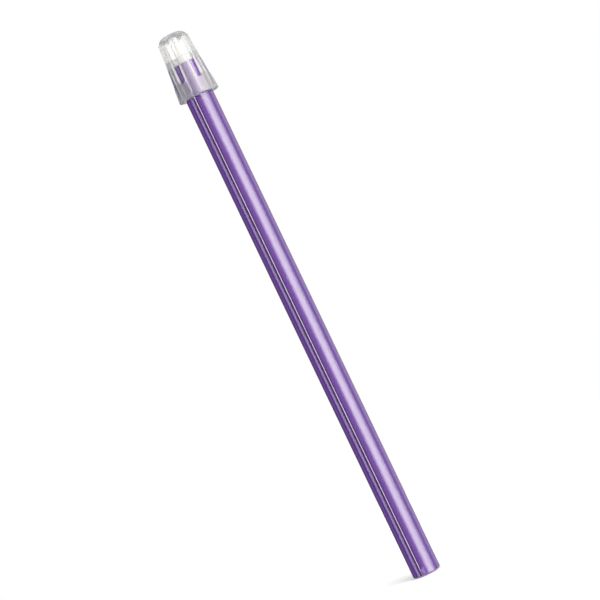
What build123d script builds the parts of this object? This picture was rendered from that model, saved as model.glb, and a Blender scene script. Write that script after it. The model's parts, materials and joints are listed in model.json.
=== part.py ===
"""Saliva ejector tip: a plastic suction tube with a soft wire in its wall and a slotted push-on cap.

The tube stands on +Z. Its open hose end, which goes into the suction valve, is at the origin.
The upper part of the real tube bends and stays bent. It is written here as a row of short
stretches, one for each rigid body of the bend, with a narrow gap at each hinge.
"""

import os

from build123d import *

# Tube, millimetres.
TUBE_LENGTH = 124.5
TUBE_RADIUS = 3.25
LUMEN_RADIUS = 2.35

# Wire in the tube's wall. It runs the whole length, off the axis.
WIRE_RADIUS = 0.25
WIRE_CLEARANCE = 0.02
WIRE_DISTANCE = 2.80
WIRE_ANGLE = 247.5

# Bend zone: evenly spaced hinges, whose axes are parallel to Y.
HINGE_COUNT = 6
HINGE_PITCH = 6.0
FIRST_HINGE = 68.0
HINGE_GAP = 1.2

# Cap. Heights are from its rim, which lies lower than the tube's tip by the seat's depth.
CAP_HEIGHT = 15.0
CAP_RIM_RADIUS = 4.75
CAP_TAPER = 0.087
CAP_SHOULDER_FILLET = 1.8
CAP_RIM_FILLET = 0.35
SEAT_DEPTH = 7.8
SEAT_CLEARANCE = 0.02
SEAT_LEAD_IN = 0.40
STOP_RING_HEIGHT = 1.5
STOP_GAP = 0.05
CHAMBER_RADIUS = 2.5
CHAMBER_TOP = 13.6

# Slots round the cap, and the shallow grooves that lead down from them inside the seat.
SLOT_COUNT = 6
SLOT_WIDTH = 1.7
SLOT_LOW = 3.6
SLOT_INNER_RADIUS = 1.9
GROOVE_WIDTH = 1.5
GROOVE_LOW = 0.8
GROOVE_RADIUS = 3.75
CUT_MARGIN = 3.0

FOLDER = "parts"


def export_named(builder, name):
    """Labels a finished sub-part and writes it as the STEP file of its node."""
    builder.part.label = name
    export_step(builder.part, os.path.join(FOLDER, f"{name}.step"))


def stretches():
    """Name, lower end and upper end of each stretch of the tube, from the hose end to the tip."""
    hinges = [FIRST_HINGE + HINGE_PITCH * index for index in range(HINGE_COUNT)]
    names = ["hose_end"] + [f"bend_{index}" for index in range(1, HINGE_COUNT)] + ["tip_end"]
    lows = [0.0] + [hinge + HINGE_GAP / 2 for hinge in hinges]
    highs = [hinge - HINGE_GAP / 2 for hinge in hinges] + [TUBE_LENGTH]
    return zip(names, lows, highs)


def make_tube_stretch(name, low, high):
    """One stretch of the extruded tube, with the wire's channel in its wall."""
    with BuildPart() as tube:
        with BuildSketch(Plane.XY.offset(low)):
            Circle(TUBE_RADIUS)
            Circle(LUMEN_RADIUS, mode=Mode.SUBTRACT)
            with PolarLocations(WIRE_DISTANCE, 1, start_angle=WIRE_ANGLE):
                Circle(WIRE_RADIUS + WIRE_CLEARANCE, mode=Mode.SUBTRACT)
        extrude(amount=high - low)
    export_named(tube, f"tube_{name}")


def make_wire_stretch(name, low, high):
    """The same stretch of the wire that keeps the tube bent."""
    with BuildPart() as wire:
        with BuildSketch(Plane.XY.offset(low)):
            with PolarLocations(WIRE_DISTANCE, 1, start_angle=WIRE_ANGLE):
                Circle(WIRE_RADIUS)
        extrude(amount=high - low)
    export_named(wire, f"wire_{name}")


def radial_planes():
    """A plane through the tube's axis for each slot, facing outwards."""
    step = 360.0 / SLOT_COUNT
    return [Plane.YZ.rotated((0, 0, step * index)) for index in range(SLOT_COUNT)]


def make_cap():
    """Soft conical cap: a seat for the tube, a stop ring, and a slotted chamber above it."""
    rim = TUBE_LENGTH - SEAT_DEPTH
    seat_radius = TUBE_RADIUS + SEAT_CLEARANCE
    ring_low = rim + SEAT_DEPTH + STOP_GAP
    ring_high = ring_low + STOP_RING_HEIGHT
    chamber_top = rim + CHAMBER_TOP
    top = rim + CAP_HEIGHT
    top_radius = CAP_RIM_RADIUS - CAP_TAPER * CAP_HEIGHT
    outer_reach = CAP_RIM_RADIUS + CUT_MARGIN

    with BuildPart() as cap:
        # Closed conical shell with the stepped hole inside.
        with BuildSketch(Plane.XZ) as half_section:
            with BuildLine():
                Polyline(
                    (seat_radius + SEAT_LEAD_IN, rim),
                    (CAP_RIM_RADIUS, rim),
                    (top_radius, top),
                    (0, top),
                    (0, chamber_top),
                    (CHAMBER_RADIUS, chamber_top),
                    (CHAMBER_RADIUS, ring_low),
                    (seat_radius, ring_low),
                    (seat_radius, rim + SEAT_LEAD_IN),
                    close=True,
                )
            make_face()
            outline = half_section.vertices()
            fillet(outline.sort_by_distance((top_radius, top))[0], CAP_SHOULDER_FILLET)
            outline = half_section.vertices()
            fillet(outline.sort_by_distance((CAP_RIM_RADIUS, rim))[0], CAP_RIM_FILLET)
        revolve(axis=Axis.Z)

        # Slots with round lower ends, cut from the chamber outwards.
        slot_low_centre = rim + SLOT_LOW + SLOT_WIDTH / 2
        slot_height = chamber_top - slot_low_centre
        with BuildSketch(*[plane.offset(SLOT_INNER_RADIUS) for plane in radial_planes()]):
            with Locations((0, slot_low_centre + slot_height / 2)):
                Rectangle(SLOT_WIDTH, slot_height)
            with Locations((0, slot_low_centre)):
                Circle(SLOT_WIDTH / 2)
        extrude(amount=outer_reach - SLOT_INNER_RADIUS, mode=Mode.SUBTRACT)

        # Shallow grooves in the seat's wall, below the slots.
        groove_height = slot_low_centre - (rim + GROOVE_LOW)
        with BuildSketch(*radial_planes()):
            with Locations((0, slot_low_centre - groove_height / 2)):
                Rectangle(GROOVE_WIDTH, groove_height)
        extrude(amount=GROOVE_RADIUS, mode=Mode.SUBTRACT)

        # Ring that stops the tube. It shows through the slots.
        with BuildSketch(Plane.XY.offset(ring_low)):
            Circle(seat_radius)
            Circle(LUMEN_RADIUS, mode=Mode.SUBTRACT)
        extrude(amount=ring_high - ring_low)
    export_named(cap, "cap")


os.makedirs(FOLDER, exist_ok=True)
for stretch_name, stretch_low, stretch_high in stretches():
    make_tube_stretch(stretch_name, stretch_low, stretch_high)
    make_wire_stretch(stretch_name, stretch_low, stretch_high)
make_cap()
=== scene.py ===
"""Looks of the saliva ejector tip: a glossy purple PVC tube, the wire in its wall and a soft clear cap.

Every length is in metres, in the CAD frame: +Z runs along the tube from the hose end to the tip.
"""
import json
import math

import bmesh
import bpy
from mathutils import Matrix, Vector

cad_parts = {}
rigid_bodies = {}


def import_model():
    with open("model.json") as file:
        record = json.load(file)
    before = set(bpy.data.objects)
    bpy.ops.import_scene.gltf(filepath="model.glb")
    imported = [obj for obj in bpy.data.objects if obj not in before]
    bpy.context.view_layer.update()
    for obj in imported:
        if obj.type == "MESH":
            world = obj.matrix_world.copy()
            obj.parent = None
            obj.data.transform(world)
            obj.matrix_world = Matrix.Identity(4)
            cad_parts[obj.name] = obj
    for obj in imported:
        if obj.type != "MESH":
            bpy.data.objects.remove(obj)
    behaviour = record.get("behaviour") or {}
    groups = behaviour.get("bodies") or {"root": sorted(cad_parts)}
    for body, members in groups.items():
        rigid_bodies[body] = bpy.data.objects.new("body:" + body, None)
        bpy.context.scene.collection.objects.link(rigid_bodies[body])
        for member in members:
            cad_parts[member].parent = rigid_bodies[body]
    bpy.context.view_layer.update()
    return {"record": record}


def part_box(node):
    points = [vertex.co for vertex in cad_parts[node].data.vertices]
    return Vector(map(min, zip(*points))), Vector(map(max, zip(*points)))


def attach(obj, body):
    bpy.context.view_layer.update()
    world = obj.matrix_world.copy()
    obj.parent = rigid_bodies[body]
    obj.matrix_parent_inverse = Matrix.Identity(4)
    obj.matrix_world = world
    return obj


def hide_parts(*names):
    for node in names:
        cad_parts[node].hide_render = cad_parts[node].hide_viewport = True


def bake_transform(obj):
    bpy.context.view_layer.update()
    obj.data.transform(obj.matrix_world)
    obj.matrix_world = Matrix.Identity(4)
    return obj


MM = 0.001

# Lengths too short to matter.
NO_LENGTH = 1e-9
SAME_PLACE = 1e-7

# Tube: a round wall with the wire inside it, near its outer skin.
LUMEN_RADIUS = 2.35 * MM
WALL_COLUMNS = 96
STRAIGHT_STEP = 2.5 * MM
BEND_STEP = 0.5 * MM
BLEND_REACH = 3.0 * MM
CUT_EDGE_RADIUS = 0.10 * MM
CUT_EDGE_STEPS = 3

# Wire.
WIRE_COLUMNS = 24
WIRE_EDGE_RADIUS = 0.06 * MM

# Cap, with heights measured from its rim.
SLOT_COUNT = 6
SLOT_HALF_WIDTH = 0.85 * MM
SLOT_LOW = 3.6 * MM
SLOT_CENTRE = SLOT_LOW + SLOT_HALF_WIDTH
SEAT_RADIUS = 3.27 * MM
GROOVE_RADIUS = 3.75 * MM
GROOVE_LOW = 0.8 * MM
CHAMBER_RADIUS = 2.5 * MM
RING_RADIUS = LUMEN_RADIUS
RING_LOW = 7.85 * MM
RING_HIGH = 9.35 * MM
CHAMBER_TOP = 13.6 * MM
CAP_RIM_RADIUS = 4.75 * MM
CAP_TAPER = 0.087
SHOULDER_RADIUS = 1.8 * MM
RIM_ROUNDING = 0.35 * MM
SEAT_LEAD_IN = 0.40 * MM

# Grid of the cap. Lines at EDGE_SUPPORT from an edge keep it crisp when the mesh is subdivided.
EDGE_SUPPORT = 0.12 * MM
ROUNDING_LEVELS = 2
SLOT_MIDDLE_LINE = 0.42 * MM
PILLAR_STEPS = 3

# Radii of the grid's layers, from the axis outwards. The last one follows the cone.
LAYER_RADII = (
    0.0, 0.6 * MM, 1.2 * MM, RING_RADIUS, CHAMBER_RADIUS, SEAT_RADIUS, GROOVE_RADIUS, None,
)
AXIS, RING, CHAMBER, SEAT, GROOVE, SKIN = 0, 3, 4, 5, 6, 7

# Heights of the grid's rows below the top. The ones away from any edge divide the wide spaces.
ROW_HEIGHTS = (
    0.0, RIM_ROUNDING, GROOVE_LOW - EDGE_SUPPORT, GROOVE_LOW, 2.2 * MM,
    SLOT_LOW - EDGE_SUPPORT, SLOT_LOW, SLOT_LOW + 0.45 * MM, SLOT_CENTRE, SLOT_CENTRE + 0.5 * MM,
    6.2 * MM, RING_LOW - EDGE_SUPPORT, RING_LOW, RING_LOW + EDGE_SUPPORT,
    RING_HIGH - EDGE_SUPPORT, RING_HIGH, RING_HIGH + EDGE_SUPPORT,
    11.4 * MM, CHAMBER_TOP - EDGE_SUPPORT, CHAMBER_TOP, CHAMBER_TOP + 0.6 * MM,
)

# Share of the seat's lead-in that widens each grid point, by its row and layer.
LEAD_IN_SHARES = {(0, SEAT): 1.0, (1, SEAT): 0.15, (0, GROOVE): 0.4}

# Where each layer's top point lies on the round shoulder, in degrees. At 90 it is on the flat top.
SHOULDER_TURNS = {RING: 90.0, CHAMBER: 78.0, SEAT: 65.0, GROOVE: 52.0, SKIN: 39.0}
SHOULDER_FOOT_TURN = 20.0

# Degrees round the slot's lower end at which its lowest row meets its side columns.
SLOT_CORNER_TURN = 45.0

# Camera.
CAMERA_DISTANCE = 0.430
CAMERA_AIM = Vector((0.61 * MM, 0.0, 66.36 * MM))
CAMERA_LENS = 116.5
CAMERA_SENSOR = 36.0
CAMERA_ROLL = math.radians(25.54)
CAMERA_NEAR = 0.01
CAMERA_FAR = 20.0


# ---------------------------------------------------------------- node helpers

def new_material(name):
    """An empty node material and its output node."""
    material = bpy.data.materials.new(name)
    material.use_nodes = True
    material.node_tree.nodes.clear()
    output = material.node_tree.nodes.new("ShaderNodeOutputMaterial")
    return material, material.node_tree, output


def add(tree, kind, **settings):
    """A new node with its properties set."""
    node = tree.nodes.new(kind)
    for key, value in settings.items():
        setattr(node, key, value)
    return node


def join(tree, source, target):
    """Connects an output socket to an input socket."""
    tree.links.new(source, target)


def maths(tree, operation, first, second=None):
    """A Math node on sockets or plain numbers. Gives its output."""
    node = add(tree, "ShaderNodeMath", operation=operation)
    for socket, value in zip(node.inputs, (first, second)):
        if value is None:
            continue
        if isinstance(value, (int, float)):
            socket.default_value = value
        else:
            join(tree, value, socket)
    return node.outputs[0]


# ---------------------------------------------------------------- materials

# Absorptions are of red, green and blue light, for each metre of plastic.
# Pattern scales are along X, Y and Z, in cells for each metre.
# Roughness ranges are from the pattern's lowest value to its highest.
PVC_IOR = 1.53

PURPLE_ABSORPTION = (960.0, 1400.0, 540.0)
ENTRY_DEPTH = 0.45 * MM
DIE_LINE_SCALE = (2200.0, 2200.0, 3.0)
DIE_LINE_DEPTH = 0.004 * MM
DIE_LINE_STRENGTH = 0.5
HAZE_SCALE = (300.0, 300.0, 90.0)
TUBE_ROUGHNESS = (0.03, 0.05)

# The tube's tip is whitened and satin where the cap grips it.
BOND_LOW = 116.9 * MM
BOND_FADE = 1.5 * MM
BOND_ROUGHNESS = 0.12
BOND_WHITENING = 0.10

SCRATCH_SCALE = (9000.0, 9000.0, 60.0)
SCRATCH_DEPTH = 0.003 * MM
SCRATCH_STRENGTH = 0.6
PATCH_SCALE = (400.0, 400.0, 250.0)
PATCH_COLOURS = ((0.35, (0.74, 0.72, 0.82, 1.0)), (0.70, (0.86, 0.84, 0.94, 1.0)))
WIRE_ROUGHNESS = (0.08, 0.16)

CLEAR_ABSORPTION = (84.0, 74.0, 62.0)
CAP_ENTRY_DEPTH = 0.5 * MM
SATIN_SCALE = (900.0, 900.0, 900.0)
FLOW_SCALE = (180.0, 180.0, 120.0)
FLOW_DEPTH = 0.02 * MM
FLOW_STRENGTH = 0.08
CAP_ROUGHNESS = (0.34, 0.42)
CAP_CLEARNESS = 0.975
SCATTER_DEPTH = 1.2 * MM


def rest_place(tree):
    """The point's place when the piece is at rest."""
    return add(tree, "ShaderNodeAttribute", attribute_name="rest_place").outputs["Vector"]


def pattern(tree, scale, detail, roughness):
    """A noise texture fixed to the piece, so that it bends with it. Gives its value."""
    stretch = add(tree, "ShaderNodeVectorMath", operation="MULTIPLY")
    join(tree, rest_place(tree), stretch.inputs[0])
    stretch.inputs[1].default_value = scale
    node = add(tree, "ShaderNodeTexNoise")
    join(tree, stretch.outputs[0], node.inputs["Vector"])
    node.inputs["Scale"].default_value = 1.0
    node.inputs["Detail"].default_value = detail
    node.inputs["Roughness"].default_value = roughness
    return node.outputs[0]


def remap(tree, value, low, high):
    """Stretches a 0 to 1 value to low to high."""
    node = add(tree, "ShaderNodeMapRange")
    join(tree, value, node.inputs["Value"])
    node.inputs["To Min"].default_value = low
    node.inputs["To Max"].default_value = high
    return node.outputs[0]


def bumped(tree, height, distance, strength):
    """A bump normal from a height value."""
    node = add(tree, "ShaderNodeBump")
    node.inputs["Strength"].default_value = strength
    node.inputs["Distance"].default_value = distance
    join(tree, height, node.inputs["Height"])
    return node.outputs[0]


def depth_colour(tree, absorption, passed):
    """What is left of each colour after the ray's way through the plastic, beyond a depth passed."""
    path = add(tree, "ShaderNodeLightPath")
    beyond = maths(tree, "SUBTRACT", path.outputs["Ray Length"], passed)
    way = maths(tree, "MAXIMUM", beyond, 0.0)
    combine = add(tree, "ShaderNodeCombineColor")
    for channel, rate in zip(combine.inputs, absorption):
        join(tree, maths(tree, "EXPONENT", maths(tree, "MULTIPLY", way, -rate)), channel)
    return combine.outputs[0]


def clear_plastic(tree, absorption, entry_depth, roughness, normal):
    """Transparent plastic that takes its colour from the ray's way through it.

    Gives the shader, and the outer skin's node for further settings.
    """
    skin = add(tree, "ShaderNodeBsdfPrincipled")
    # A ray that passes is tinted by the square root of the base colour, so the depth counts twice.
    entry = [math.exp(-2 * rate * entry_depth) for rate in absorption]
    skin.inputs["Base Color"].default_value = (*entry, 1.0)
    skin.inputs["IOR"].default_value = PVC_IOR
    skin.inputs["Transmission Weight"].default_value = 1.0
    inside = add(tree, "ShaderNodeBsdfGlass", distribution="GGX")
    inside.inputs["IOR"].default_value = PVC_IOR
    join(tree, depth_colour(tree, absorption, entry_depth), inside.inputs["Color"])
    for shader in (skin, inside):
        join(tree, roughness, shader.inputs["Roughness"])
        join(tree, normal, shader.inputs["Normal"])
    side = add(tree, "ShaderNodeNewGeometry")
    mix = add(tree, "ShaderNodeMixShader")
    join(tree, side.outputs["Backfacing"], mix.inputs[0])
    join(tree, skin.outputs[0], mix.inputs[1])
    join(tree, inside.outputs[0], mix.inputs[2])
    return mix.outputs[0], skin


def tube_material():
    """Extruded purple PVC: glossy, clear and deeply coloured, with faint lines along it from the die."""
    material, tree, output = new_material("purple_extruded_pvc")
    die_lines = pattern(tree, DIE_LINE_SCALE, detail=3.0, roughness=0.6)
    haze = pattern(tree, HAZE_SCALE, detail=3.0, roughness=0.6)
    height = add(tree, "ShaderNodeSeparateXYZ")
    join(tree, rest_place(tree), height.inputs[0])
    bonded = add(tree, "ShaderNodeMapRange")
    join(tree, height.outputs["Z"], bonded.inputs["Value"])
    bonded.inputs["From Min"].default_value = BOND_LOW
    bonded.inputs["From Max"].default_value = BOND_LOW + BOND_FADE
    bloom = bonded.outputs[0]
    haze_roughness = remap(tree, haze, *TUBE_ROUGHNESS)
    bloom_roughness = maths(tree, "MULTIPLY", bloom, BOND_ROUGHNESS)
    roughness = maths(tree, "ADD", haze_roughness, bloom_roughness)
    normal = bumped(tree, die_lines, DIE_LINE_DEPTH, DIE_LINE_STRENGTH)
    plastic, skin = clear_plastic(tree, PURPLE_ABSORPTION, ENTRY_DEPTH, roughness, normal)
    clear = maths(tree, "SUBTRACT", 1.0, maths(tree, "MULTIPLY", bloom, BOND_WHITENING))
    join(tree, clear, skin.inputs["Transmission Weight"])
    join(tree, plastic, output.inputs["Surface"])
    return material


def wire_material():
    """Drawn soft steel wire."""
    material, tree, output = new_material("drawn_steel_wire")
    scratches = pattern(tree, SCRATCH_SCALE, detail=4.0, roughness=0.7)
    patches = pattern(tree, PATCH_SCALE, detail=3.0, roughness=0.6)
    ramp = add(tree, "ShaderNodeValToRGB")
    for element, (position, colour) in zip(ramp.color_ramp.elements, PATCH_COLOURS):
        element.position = position
        element.color = colour
    join(tree, patches, ramp.inputs["Fac"])
    metal = add(tree, "ShaderNodeBsdfPrincipled")
    metal.inputs["Metallic"].default_value = 1.0
    join(tree, ramp.outputs["Color"], metal.inputs["Base Color"])
    join(tree, remap(tree, scratches, *WIRE_ROUGHNESS), metal.inputs["Roughness"])
    join(tree, bumped(tree, scratches, SCRATCH_DEPTH, SCRATCH_STRENGTH), metal.inputs["Normal"])
    join(tree, metal.outputs[0], output.inputs["Surface"])
    return material


def cap_material():
    """Moulded soft PVC: clear but milky, with a fine satin bloom."""
    material, tree, output = new_material("milky_soft_pvc")
    satin = pattern(tree, SATIN_SCALE, detail=4.0, roughness=0.6)
    flow = pattern(tree, FLOW_SCALE, detail=2.0, roughness=0.5)
    roughness = remap(tree, satin, *CAP_ROUGHNESS)
    normal = bumped(tree, flow, FLOW_DEPTH, FLOW_STRENGTH)
    plastic, skin = clear_plastic(tree, CLEAR_ABSORPTION, CAP_ENTRY_DEPTH, roughness, normal)
    skin.inputs["Transmission Weight"].default_value = CAP_CLEARNESS
    skin.inputs["Subsurface Weight"].default_value = 1.0
    skin.inputs["Subsurface Radius"].default_value = (1.0, 1.0, 1.0)
    skin.inputs["Subsurface Scale"].default_value = SCATTER_DEPTH
    join(tree, plastic, output.inputs["Surface"])
    return material


# ---------------------------------------------------------------- meshes

def remember_rest(mesh):
    """Stores where each point is at rest, for the materials' patterns."""
    attribute = mesh.attributes.new("rest_place", "FLOAT_VECTOR", "POINT")
    for point, vertex in zip(attribute.data, mesh.vertices):
        point.vector = vertex.co


def new_piece(name, points, faces, material):
    """A smoothly shaded mesh object from points and faces."""
    mesh = bpy.data.meshes.new(name)
    mesh.from_pydata(points, [], faces)
    mesh.validate()
    mesh.materials.append(material)
    for polygon in mesh.polygons:
        polygon.use_smooth = True
    remember_rest(mesh)
    piece = bpy.data.objects.new(name, mesh)
    bpy.context.scene.collection.objects.link(piece)
    return piece


def lathe(profile, columns, centre=(0.0, 0.0)):
    """Points and quads of a profile of (radius, height) turned round an upright line, one ring for each."""
    points = []
    for radius, height in profile:
        for column in range(columns):
            turn = 2 * math.pi * column / columns
            across = centre[0] + radius * math.cos(turn)
            along = centre[1] + radius * math.sin(turn)
            points.append((across, along, height))
    faces = []
    for ring in range(len(profile) - 1):
        for column in range(columns):
            after = (column + 1) % columns
            low, high = ring * columns, (ring + 1) * columns
            faces.append((low + column, low + after, high + after, high + column))
    return points, faces


def rounded_end(inner, outer, height, direction):
    """Profile round a cut end of the wall, from the outer wall to the inner one.

    The direction is 1 for the upper end and -1 for the lower one.
    """
    radius = CUT_EDGE_RADIUS
    quarter = [math.pi / 2 * step / CUT_EDGE_STEPS for step in range(CUT_EDGE_STEPS + 1)]
    level = height - direction * radius
    profile = []
    for turn in quarter:
        reach = outer - radius + radius * math.cos(turn)
        profile.append((reach, level + direction * radius * math.sin(turn)))
    for turn in reversed(quarter):
        reach = inner + radius - radius * math.cos(turn)
        profile.append((reach, level + direction * radius * math.sin(turn)))
    return profile


def levels(low, high, bend_low, bend_high):
    """Heights of the rings between low and high, close together where the piece bends."""
    heights = []
    for start, stop, step in (
        (low, min(high, bend_low), STRAIGHT_STEP),
        (max(low, bend_low), min(high, bend_high), BEND_STEP),
        (max(low, bend_high), high, STRAIGHT_STEP),
    ):
        if stop - start < NO_LENGTH:
            continue
        count = max(1, round((stop - start) / step))
        heights += [start + (stop - start) * index / count for index in range(count)]
    return heights + [high]


def wall_piece(name, low, high, hinge, inner, outer, ends, material):
    """A stretch of the tube's wall: outer skin, bore, and a rounded cut face where the tube really ends."""
    heights = levels(low, high, hinge - BLEND_REACH, hinge + BLEND_REACH)
    top_cut, bottom_cut = high in ends, low in ends
    first = low + CUT_EDGE_RADIUS if bottom_cut else low
    last = high - CUT_EDGE_RADIUS if top_cut else high
    between = [height for height in heights if first + SAME_PLACE < height < last - SAME_PLACE]
    rising = [(outer, height) for height in [first, *between, last]]
    falling = [(inner, height) for height in [last, *reversed(between), first]]
    if bottom_cut:
        bottom = rounded_end(inner, outer, low, -1)
        rising = list(reversed(bottom)) + rising[1:]
        falling = falling[:-1]
        # Turned over, the bottom's profile starts at the bore's lowest ring, so the bore leaves it out.
        points, faces = lathe(falling + rising, WALL_COLUMNS)
    elif top_cut:
        top = rounded_end(inner, outer, high, 1)
        points, faces = lathe(rising[:-1] + top + falling[1:], WALL_COLUMNS)
    else:
        points, faces = lathe(rising, WALL_COLUMNS)
        bore_points, bore_faces = lathe(falling, WALL_COLUMNS)
        offset = len(points)
        points += bore_points
        faces += [tuple(index + offset for index in face) for face in bore_faces]
    return new_piece(name, points, faces, material)


def wire_piece(name, low, high, hinge, radius, centre, ends, material):
    """A stretch of the wire, with a small rounded face at each real end."""
    heights = levels(low, high, hinge - BLEND_REACH, hinge + BLEND_REACH)
    profile = [(radius, height) for height in heights]
    edge = WIRE_EDGE_RADIUS
    if low in ends:
        profile = [(0.0, low), (radius - edge, low), (radius, low + edge)] + profile[1:]
    if high in ends:
        profile = profile[:-1] + [(radius, high - edge), (radius - edge, high), (0.0, high)]
    points, faces = lathe(profile, WIRE_COLUMNS, centre)
    piece = new_piece(name, points, faces, material)
    clean = bmesh.new()
    clean.from_mesh(piece.data)
    bmesh.ops.remove_doubles(clean, verts=clean.verts, dist=SAME_PLACE)
    clean.to_mesh(piece.data)
    clean.free()
    return piece


# ---------------------------------------------------------------- cap

def cap_outline(height):
    """Outer radius of the cap's cone at a height above its rim."""
    return CAP_RIM_RADIUS - CAP_TAPER * height


def cap_piece(name, rim, top, material):
    """The cap as one closed mesh, laid out on a grid of angle, radius and height cells."""
    cap_height = top - rim
    heights = [*ROW_HEIGHTS, cap_height]
    low_row = heights.index(SLOT_LOW)
    centre_row = heights.index(SLOT_CENTRE)
    top_row = len(heights) - 1
    last_layer = len(LAYER_RADII) - 1

    # Columns of half a slot's sector: distances from the slot's middle, then even steps
    # to the pillar's middle.
    inside_slot = [0.0, SLOT_MIDDLE_LINE, SLOT_HALF_WIDTH - EDGE_SUPPORT, SLOT_HALF_WIDTH]
    support = SLOT_HALF_WIDTH + EDGE_SUPPORT
    sector = 2 * (len(inside_slot) + PILLAR_STEPS)
    columns = sector * SLOT_COUNT
    edge_column = len(inside_slot) - 1

    def column_angle(column, radius):
        """Angle of a grid column at a radius. A slot's edges stay the same distance apart."""
        slot = round(column / sector)
        offset = column - slot * sector
        side = 1 if offset >= 0 else -1
        steps = abs(offset)
        radius = max(radius, RING_RADIUS)
        if steps <= edge_column:
            turn = math.asin(inside_slot[steps] / radius)
        else:
            low = math.asin(support / radius)
            turn = low + (math.pi / SLOT_COUNT - low) * (steps - edge_column - 1) / PILLAR_STEPS
        return slot * 2 * math.pi / SLOT_COUNT + side * turn

    def solid(column, layer, row):
        """Whether a cell is plastic."""
        middle = (heights[row] + heights[row + 1]) / 2
        offset = column - round((column + 0.5) / sector) * sector + 0.5
        in_slot = abs(offset) < edge_column
        if middle > CHAMBER_TOP:
            return True
        in_ring = RING_LOW < middle < RING_HIGH
        if layer < RING:
            return False
        if layer == RING:
            return in_ring
        if layer == CHAMBER:
            return in_ring or (middle > RING_HIGH and not in_slot)
        opening = GROOVE_LOW if layer == SEAT else SLOT_LOW
        return not (in_slot and middle > opening)

    def shoulder(turn_degrees):
        """Radius and height of a point on the rounded shoulder."""
        turn = math.radians(turn_degrees)
        centre_radius = cap_outline(cap_height) - SHOULDER_RADIUS
        radius = centre_radius + SHOULDER_RADIUS * math.cos(turn)
        height = cap_height - SHOULDER_RADIUS + SHOULDER_RADIUS * math.sin(turn)
        return radius, height

    def slot_end_turn(steps, row):
        """How far round the slot's lower end a grid point lies, or None inside the slot."""
        if row == low_row:
            return SLOT_CORNER_TURN * steps / edge_column
        if steps == edge_column:
            return SLOT_CORNER_TURN + SLOT_CORNER_TURN * (row - low_row) / (centre_row - low_row)
        return None

    def place(column, layer, row):
        """Where a grid point is."""
        height = heights[row]
        radius = cap_outline(height) if layer == SKIN else LAYER_RADII[layer]
        radius += SEAT_LEAD_IN * LEAD_IN_SHARES.get((row, layer), 0.0)
        angle = column_angle(column, radius)
        if row == top_row and layer >= RING:
            radius, height = shoulder(SHOULDER_TURNS[layer])
            angle = column_angle(column, LAYER_RADII[layer] or CAP_RIM_RADIUS)
        elif row == top_row - 1 and layer == SKIN:
            radius, height = shoulder(SHOULDER_FOOT_TURN)
        # Round lower end of the slot.
        slot = round(column / sector)
        steps = column - slot * sector
        if layer >= GROOVE and low_row <= row <= centre_row and abs(steps) <= edge_column:
            turn_degrees = slot_end_turn(abs(steps), row)
            if turn_degrees is not None:
                turn = math.radians(turn_degrees)
                side = 1 if steps >= 0 else -1
                across = SLOT_HALF_WIDTH * math.sin(turn)
                height = SLOT_CENTRE - SLOT_HALF_WIDTH * math.cos(turn)
                if layer == SKIN:
                    radius = cap_outline(height)
                angle = slot * 2 * math.pi / SLOT_COUNT + side * math.asin(across / radius)
        return (radius * math.cos(angle), radius * math.sin(angle), rim + height)

    points, index_of = [], {}

    def vertex(column, layer, row):
        """Index of a grid point, made on first use."""
        column %= columns
        key = (0 if layer == AXIS else column, layer, row)
        if key not in index_of:
            index_of[key] = len(points)
            points.append(place(*key))
        return index_of[key]

    def filled(column, layer, row):
        """Whether a cell is plastic, for any cell on or off the grid."""
        if not (0 <= layer < last_layer and 0 <= row < top_row):
            return False
        return solid(column % columns, layer, row)

    faces = []

    def skin(*corners):
        """One face between plastic and air. Corners that fall together are dropped."""
        ring = []
        for corner in corners:
            number = vertex(*corner)
            if number not in ring:
                ring.append(number)
        if len(ring) > 2:
            faces.append(tuple(ring))

    for column in range(columns):
        for layer in range(last_layer):
            for row in range(top_row):
                if not filled(column, layer, row):
                    continue
                c0, c1 = column, column + 1
                l0, l1 = layer, layer + 1
                r0, r1 = row, row + 1
                if not filled(column, layer + 1, row):
                    skin((c0, l1, r0), (c1, l1, r0), (c1, l1, r1), (c0, l1, r1))
                if layer > 0 and not filled(column, layer - 1, row):
                    skin((c0, l0, r0), (c0, l0, r1), (c1, l0, r1), (c1, l0, r0))
                if not filled(column, layer, row + 1):
                    skin((c0, l0, r1), (c0, l1, r1), (c1, l1, r1), (c1, l0, r1))
                if not filled(column, layer, row - 1):
                    skin((c0, l0, r0), (c1, l0, r0), (c1, l1, r0), (c0, l1, r0))
                if not filled(column + 1, layer, row):
                    skin((c1, l0, r0), (c1, l0, r1), (c1, l1, r1), (c1, l1, r0))
                if not filled(column - 1, layer, row):
                    skin((c0, l0, r0), (c0, l1, r0), (c0, l1, r1), (c0, l0, r1))
    piece = new_piece(name, points, faces, material)
    rounding = piece.modifiers.new("rounding", "SUBSURF")
    rounding.levels = ROUNDING_LEVELS
    rounding.render_levels = ROUNDING_LEVELS
    bpy.context.view_layer.update()
    evaluated = piece.evaluated_get(bpy.context.evaluated_depsgraph_get())
    rounded = bpy.data.meshes.new_from_object(evaluated)
    piece.modifiers.clear()
    piece.data = rounded
    return piece


# ---------------------------------------------------------------- stage

def make_camera():
    """A long lens square to the tube, rolled so that the tip leans left."""
    data = bpy.data.cameras.new("camera")
    data.lens = CAMERA_LENS
    data.sensor_width = CAMERA_SENSOR
    data.clip_start = CAMERA_NEAR
    data.clip_end = CAMERA_FAR
    camera = bpy.data.objects.new("camera", data)
    bpy.context.scene.collection.objects.link(camera)
    right = Vector((math.cos(CAMERA_ROLL), 0.0, -math.sin(CAMERA_ROLL)))
    up = Vector((math.sin(CAMERA_ROLL), 0.0, math.cos(CAMERA_ROLL)))
    back = Vector((0.0, -1.0, 0.0))
    turned = Matrix((right, up, back)).transposed().to_4x4()
    camera.matrix_world = Matrix.Translation(CAMERA_AIM + back * CAMERA_DISTANCE) @ turned
    bpy.context.scene.camera = camera


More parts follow.
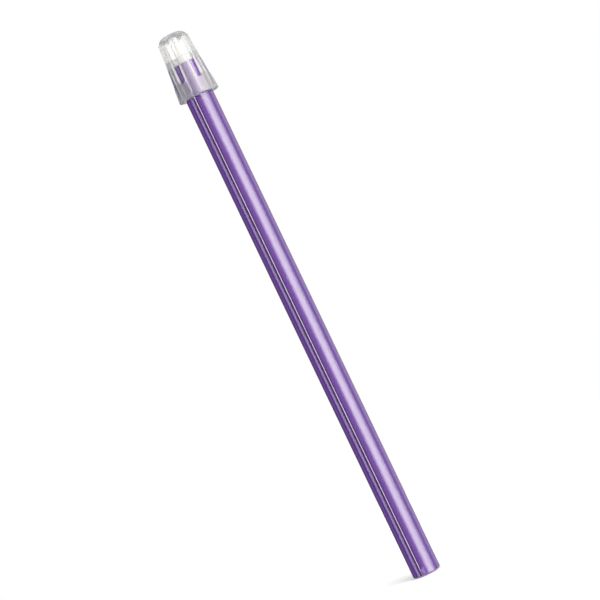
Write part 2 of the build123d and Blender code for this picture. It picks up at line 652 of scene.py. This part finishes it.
# Brightness of the studio round the object: rows of an angle in degrees, from the camera's side
# and + to its right, and a level. The levels were set by comparing the tube's colours
# in renders and in the photo.
# The plastic's surface reflects a soft box on the right, a strip on the left and dark screens.
REFLECTED = [
    (-180.0, 0.50), (-165.0, 0.10), (-95.0, 0.10), (-86.0, 0.50), (-77.0, 3.80), (-67.0, 3.60),
    (-58.0, 0.20), (-15.0, 0.05), (2.0, 0.60), (15.0, 6.60), (26.0, 12.0), (43.0, 12.0),
    (59.0, 8.50), (67.0, 5.80), (76.0, 2.80), (86.0, 0.50), (95.0, 1.00), (119.0, 1.60),
    (135.0, 1.30), (153.0, 0.60), (180.0, 0.50),
]
# Through the plastic shows a pale tent with dark gaps.
SEEN_THROUGH = [
    (-180.0, 1.00), (-176.5, 0.95), (-173.0, 0.25), (-166.0, 0.40), (-160.0, 1.80), (-152.0, 0.85),
    (-134.0, 0.95), (-121.0, 0.25), (-95.0, 0.30), (-75.0, 1.00), (-55.0, 1.90), (20.0, 1.90),
    (40.0, 1.10), (80.0, 1.10), (92.0, 0.80), (119.0, 0.80), (135.0, 1.10), (153.0, 1.45),
    (170.0, 1.20), (180.0, 1.00),
]
# The level that a ramp's full brightness stands for.
STUDIO_PEAK = 12.0
LIGHT_TINT = (1.0, 0.97, 0.92)

# Even levels: what the camera sees behind the object, what lights matt surfaces, and what shines
# from above and below.
BACKDROP = 1.0
FILL = 1.2
CEILING = 1.0

# Sines of the elevations between which the ceiling's level takes over from the studio.
CEILING_START = 0.64
CEILING_FULL = 0.87

# Floor.
FLOOR_HEIGHT = -0.3 * MM
FLOOR_RADII = (1.0 * MM, 50.0 * MM, 160.0 * MM)
FLOOR_COLUMNS = 128
FLOOR_GREY = (0.62, 0.62, 0.62, 1.0)
FLOOR_GLOW = 0.1
FLOOR_SPECKLE_SCALE = 90.0
FLOOR_ROUGHNESS = (0.85, 0.95)


def background(tree, colour, strength):
    """A Background node. Its colour is a socket, or white if that is None."""
    node = add(tree, "ShaderNodeBackground")
    if colour is None:
        node.inputs["Color"].default_value = (1.0, 1.0, 1.0, 1.0)
    else:
        join(tree, colour, node.inputs["Color"])
    node.inputs["Strength"].default_value = strength
    return node.outputs[0]


def light_ramp(tree, turn, levels_by_angle):
    """The studio's brightness over the angle."""
    ramp = add(tree, "ShaderNodeValToRGB")
    elements = ramp.color_ramp.elements
    ready = len(elements)
    for number, (angle, level) in enumerate(levels_by_angle):
        position = (angle + 180.0) / 360.0
        element = elements[number] if number < ready else elements.new(position)
        element.position = position
        element.color = (*[level / STUDIO_PEAK * tint for tint in LIGHT_TINT], 1.0)
    join(tree, turn, ramp.inputs["Fac"])
    return ramp.outputs["Color"]


def either(tree, factor, first, second):
    """A Mix Shader node: the first at a factor of 0, the second at 1."""
    mix = add(tree, "ShaderNodeMixShader")
    for socket, source in zip(mix.inputs, (factor, first, second)):
        join(tree, source, socket)
    return mix.outputs[0]


def make_world():
    """A studio with a soft box to the right of the camera, a strip to its left and a pale backdrop.

    Its levels differ for rays that are reflected, that pass through plastic, that light matt
    surfaces and that come from the camera.
    """
    world = bpy.data.worlds.new("studio")
    bpy.context.scene.world = world
    world.use_nodes = True
    tree = world.node_tree
    tree.nodes.clear()
    output = add(tree, "ShaderNodeOutputWorld")
    direction = add(tree, "ShaderNodeTexCoord")
    split = add(tree, "ShaderNodeSeparateXYZ")
    join(tree, direction.outputs["Generated"], split.inputs[0])
    towards = maths(tree, "MULTIPLY", split.outputs["Y"], -1.0)
    angle = maths(tree, "ARCTAN2", split.outputs["X"], towards)
    turn = maths(tree, "ADD", maths(tree, "DIVIDE", angle, 2 * math.pi), 0.5)
    reflected = background(tree, light_ramp(tree, turn, REFLECTED), STUDIO_PEAK)
    through = background(tree, light_ramp(tree, turn, SEEN_THROUGH), STUDIO_PEAK)
    path = add(tree, "ShaderNodeLightPath")
    studio = either(tree, path.outputs["Is Transmission Ray"], reflected, through)
    height = maths(tree, "ABSOLUTE", split.outputs["Z"])
    away = add(tree, "ShaderNodeMapRange", interpolation_type="SMOOTHSTEP")
    away.inputs["From Min"].default_value = CEILING_START
    away.inputs["From Max"].default_value = CEILING_FULL
    join(tree, height, away.inputs["Value"])
    studio = either(tree, away.outputs[0], studio, background(tree, None, CEILING))
    studio = either(tree, path.outputs["Is Diffuse Ray"], studio, background(tree, None, FILL))
    studio = either(tree, path.outputs["Is Camera Ray"], studio, background(tree, None, BACKDROP))
    join(tree, studio, output.inputs["Surface"])


def make_floor():
    """A plain pale round floor just under the hose end, which glows faintly.

    Rays that the object reflects or lets through don't see it.
    """
    material, tree, output = new_material("pale_floor")
    speckle = add(tree, "ShaderNodeTexNoise")
    speckle.inputs["Scale"].default_value = FLOOR_SPECKLE_SCALE
    matt = add(tree, "ShaderNodeBsdfPrincipled")
    matt.inputs["Base Color"].default_value = FLOOR_GREY
    matt.inputs["Specular IOR Level"].default_value = 0.0
    join(tree, remap(tree, speckle.outputs[0], *FLOOR_ROUGHNESS), matt.inputs["Roughness"])
    matt.inputs["Emission Color"].default_value = (1.0, 1.0, 1.0, 1.0)
    matt.inputs["Emission Strength"].default_value = FLOOR_GLOW
    join(tree, matt.outputs[0], output.inputs["Surface"])
    points, faces = lathe([(radius, FLOOR_HEIGHT) for radius in FLOOR_RADII], FLOOR_COLUMNS)
    faces.append(tuple(range(FLOOR_COLUMNS)))
    floor = new_piece("floor", points, faces, material)
    floor.visible_glossy = False
    floor.visible_transmission = False


# ---------------------------------------------------------------- assembly

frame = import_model()
STRETCHES = ["hose_end", "bend_1", "bend_2", "bend_3", "bend_4", "bend_5", "tip_end"]
HINGES = {
    (joint["parent"], joint["child"]): joint["pos_m"][2]
    for joint in frame["record"]["behaviour"]["joints"]
    if joint["type"] == "hinge"
}


def assemble():
    """Makes every piece, hides the CAD parts that they replace, and ties the cap to the body that it moves
    with.
    """
    tube_low, tube_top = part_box("tube_hose_end")[0].z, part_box("tube_tip_end")[1].z
    tube_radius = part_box("tube_hose_end")[1].x
    wire_low, wire_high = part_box("wire_hose_end")
    wire_centre = ((wire_low.x + wire_high.x) / 2, (wire_low.y + wire_high.y) / 2)
    wire_radius = (wire_high.x - wire_low.x) / 2
    ends = (tube_low, tube_top)

    hinges = [HINGES[pair] for pair in zip(STRETCHES, STRETCHES[1:])]
    cuts = [tube_low] + [(one + other) / 2 for one, other in zip(hinges, hinges[1:])] + [tube_top]
    plastic, metal = tube_material(), wire_material()
    for number, hinge in enumerate(hinges):
        low, high = cuts[number], cuts[number + 1]
        before, after = STRETCHES[number], STRETCHES[number + 1]
        last = number == len(hinges) - 1
        wall = wall_piece(
            f"pvc_tube_{number + 1}", low, high, hinge, LUMEN_RADIUS, tube_radius, ends, plastic
        )
        wire = wire_piece(
            f"wire_core_{number + 1}", low, high, hinge, wire_radius, wire_centre, ends, metal
        )
        for piece, kind in ((wall, "tube"), (wire, "wire")):
            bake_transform(piece)
            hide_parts(f"{kind}_{before}", *([f"{kind}_{after}"] if last else []))

    cap_low, cap_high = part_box("cap")
    cap = cap_piece("soft_cap", cap_low.z, cap_high.z, cap_material())
    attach(cap, "cap")
    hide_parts("cap")


assemble()
make_camera()
make_world()
make_floor()
bpy.context.scene.view_settings.view_transform = "Standard"
